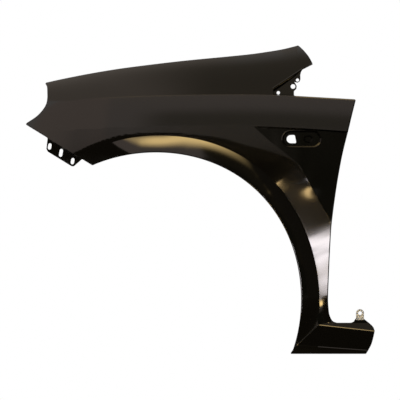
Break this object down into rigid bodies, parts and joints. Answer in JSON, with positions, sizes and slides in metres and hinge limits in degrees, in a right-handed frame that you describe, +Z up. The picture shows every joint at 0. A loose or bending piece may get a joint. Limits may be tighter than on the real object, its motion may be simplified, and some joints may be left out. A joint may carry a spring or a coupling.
{
  "type": "car fender",
  "caption": "Left front fender of a small car, pressed from sheet steel, with flared wheel arch, side lamp recess, bolt-on brackets and sill foot, in black primer.",
  "frame": {"origin": "underside of the middle bolt pad on the hood ledge, beside its hole", "axes": "outside of the fender faces -Y, front of the car is toward -X, +Z is up"},
  "size_m": [0.8721, 0.1608, 0.7711],
  "materials": {
    "black_primer": "smooth semi-gloss black primer on pressed steel",
    "zinc_plate": "bright zinc plating"
  },
  "bodies": {
    "root": {"fender_panel": "black_primer", "sill_fixing_tab": "zinc_plate"}
  },
  "joints": []
}
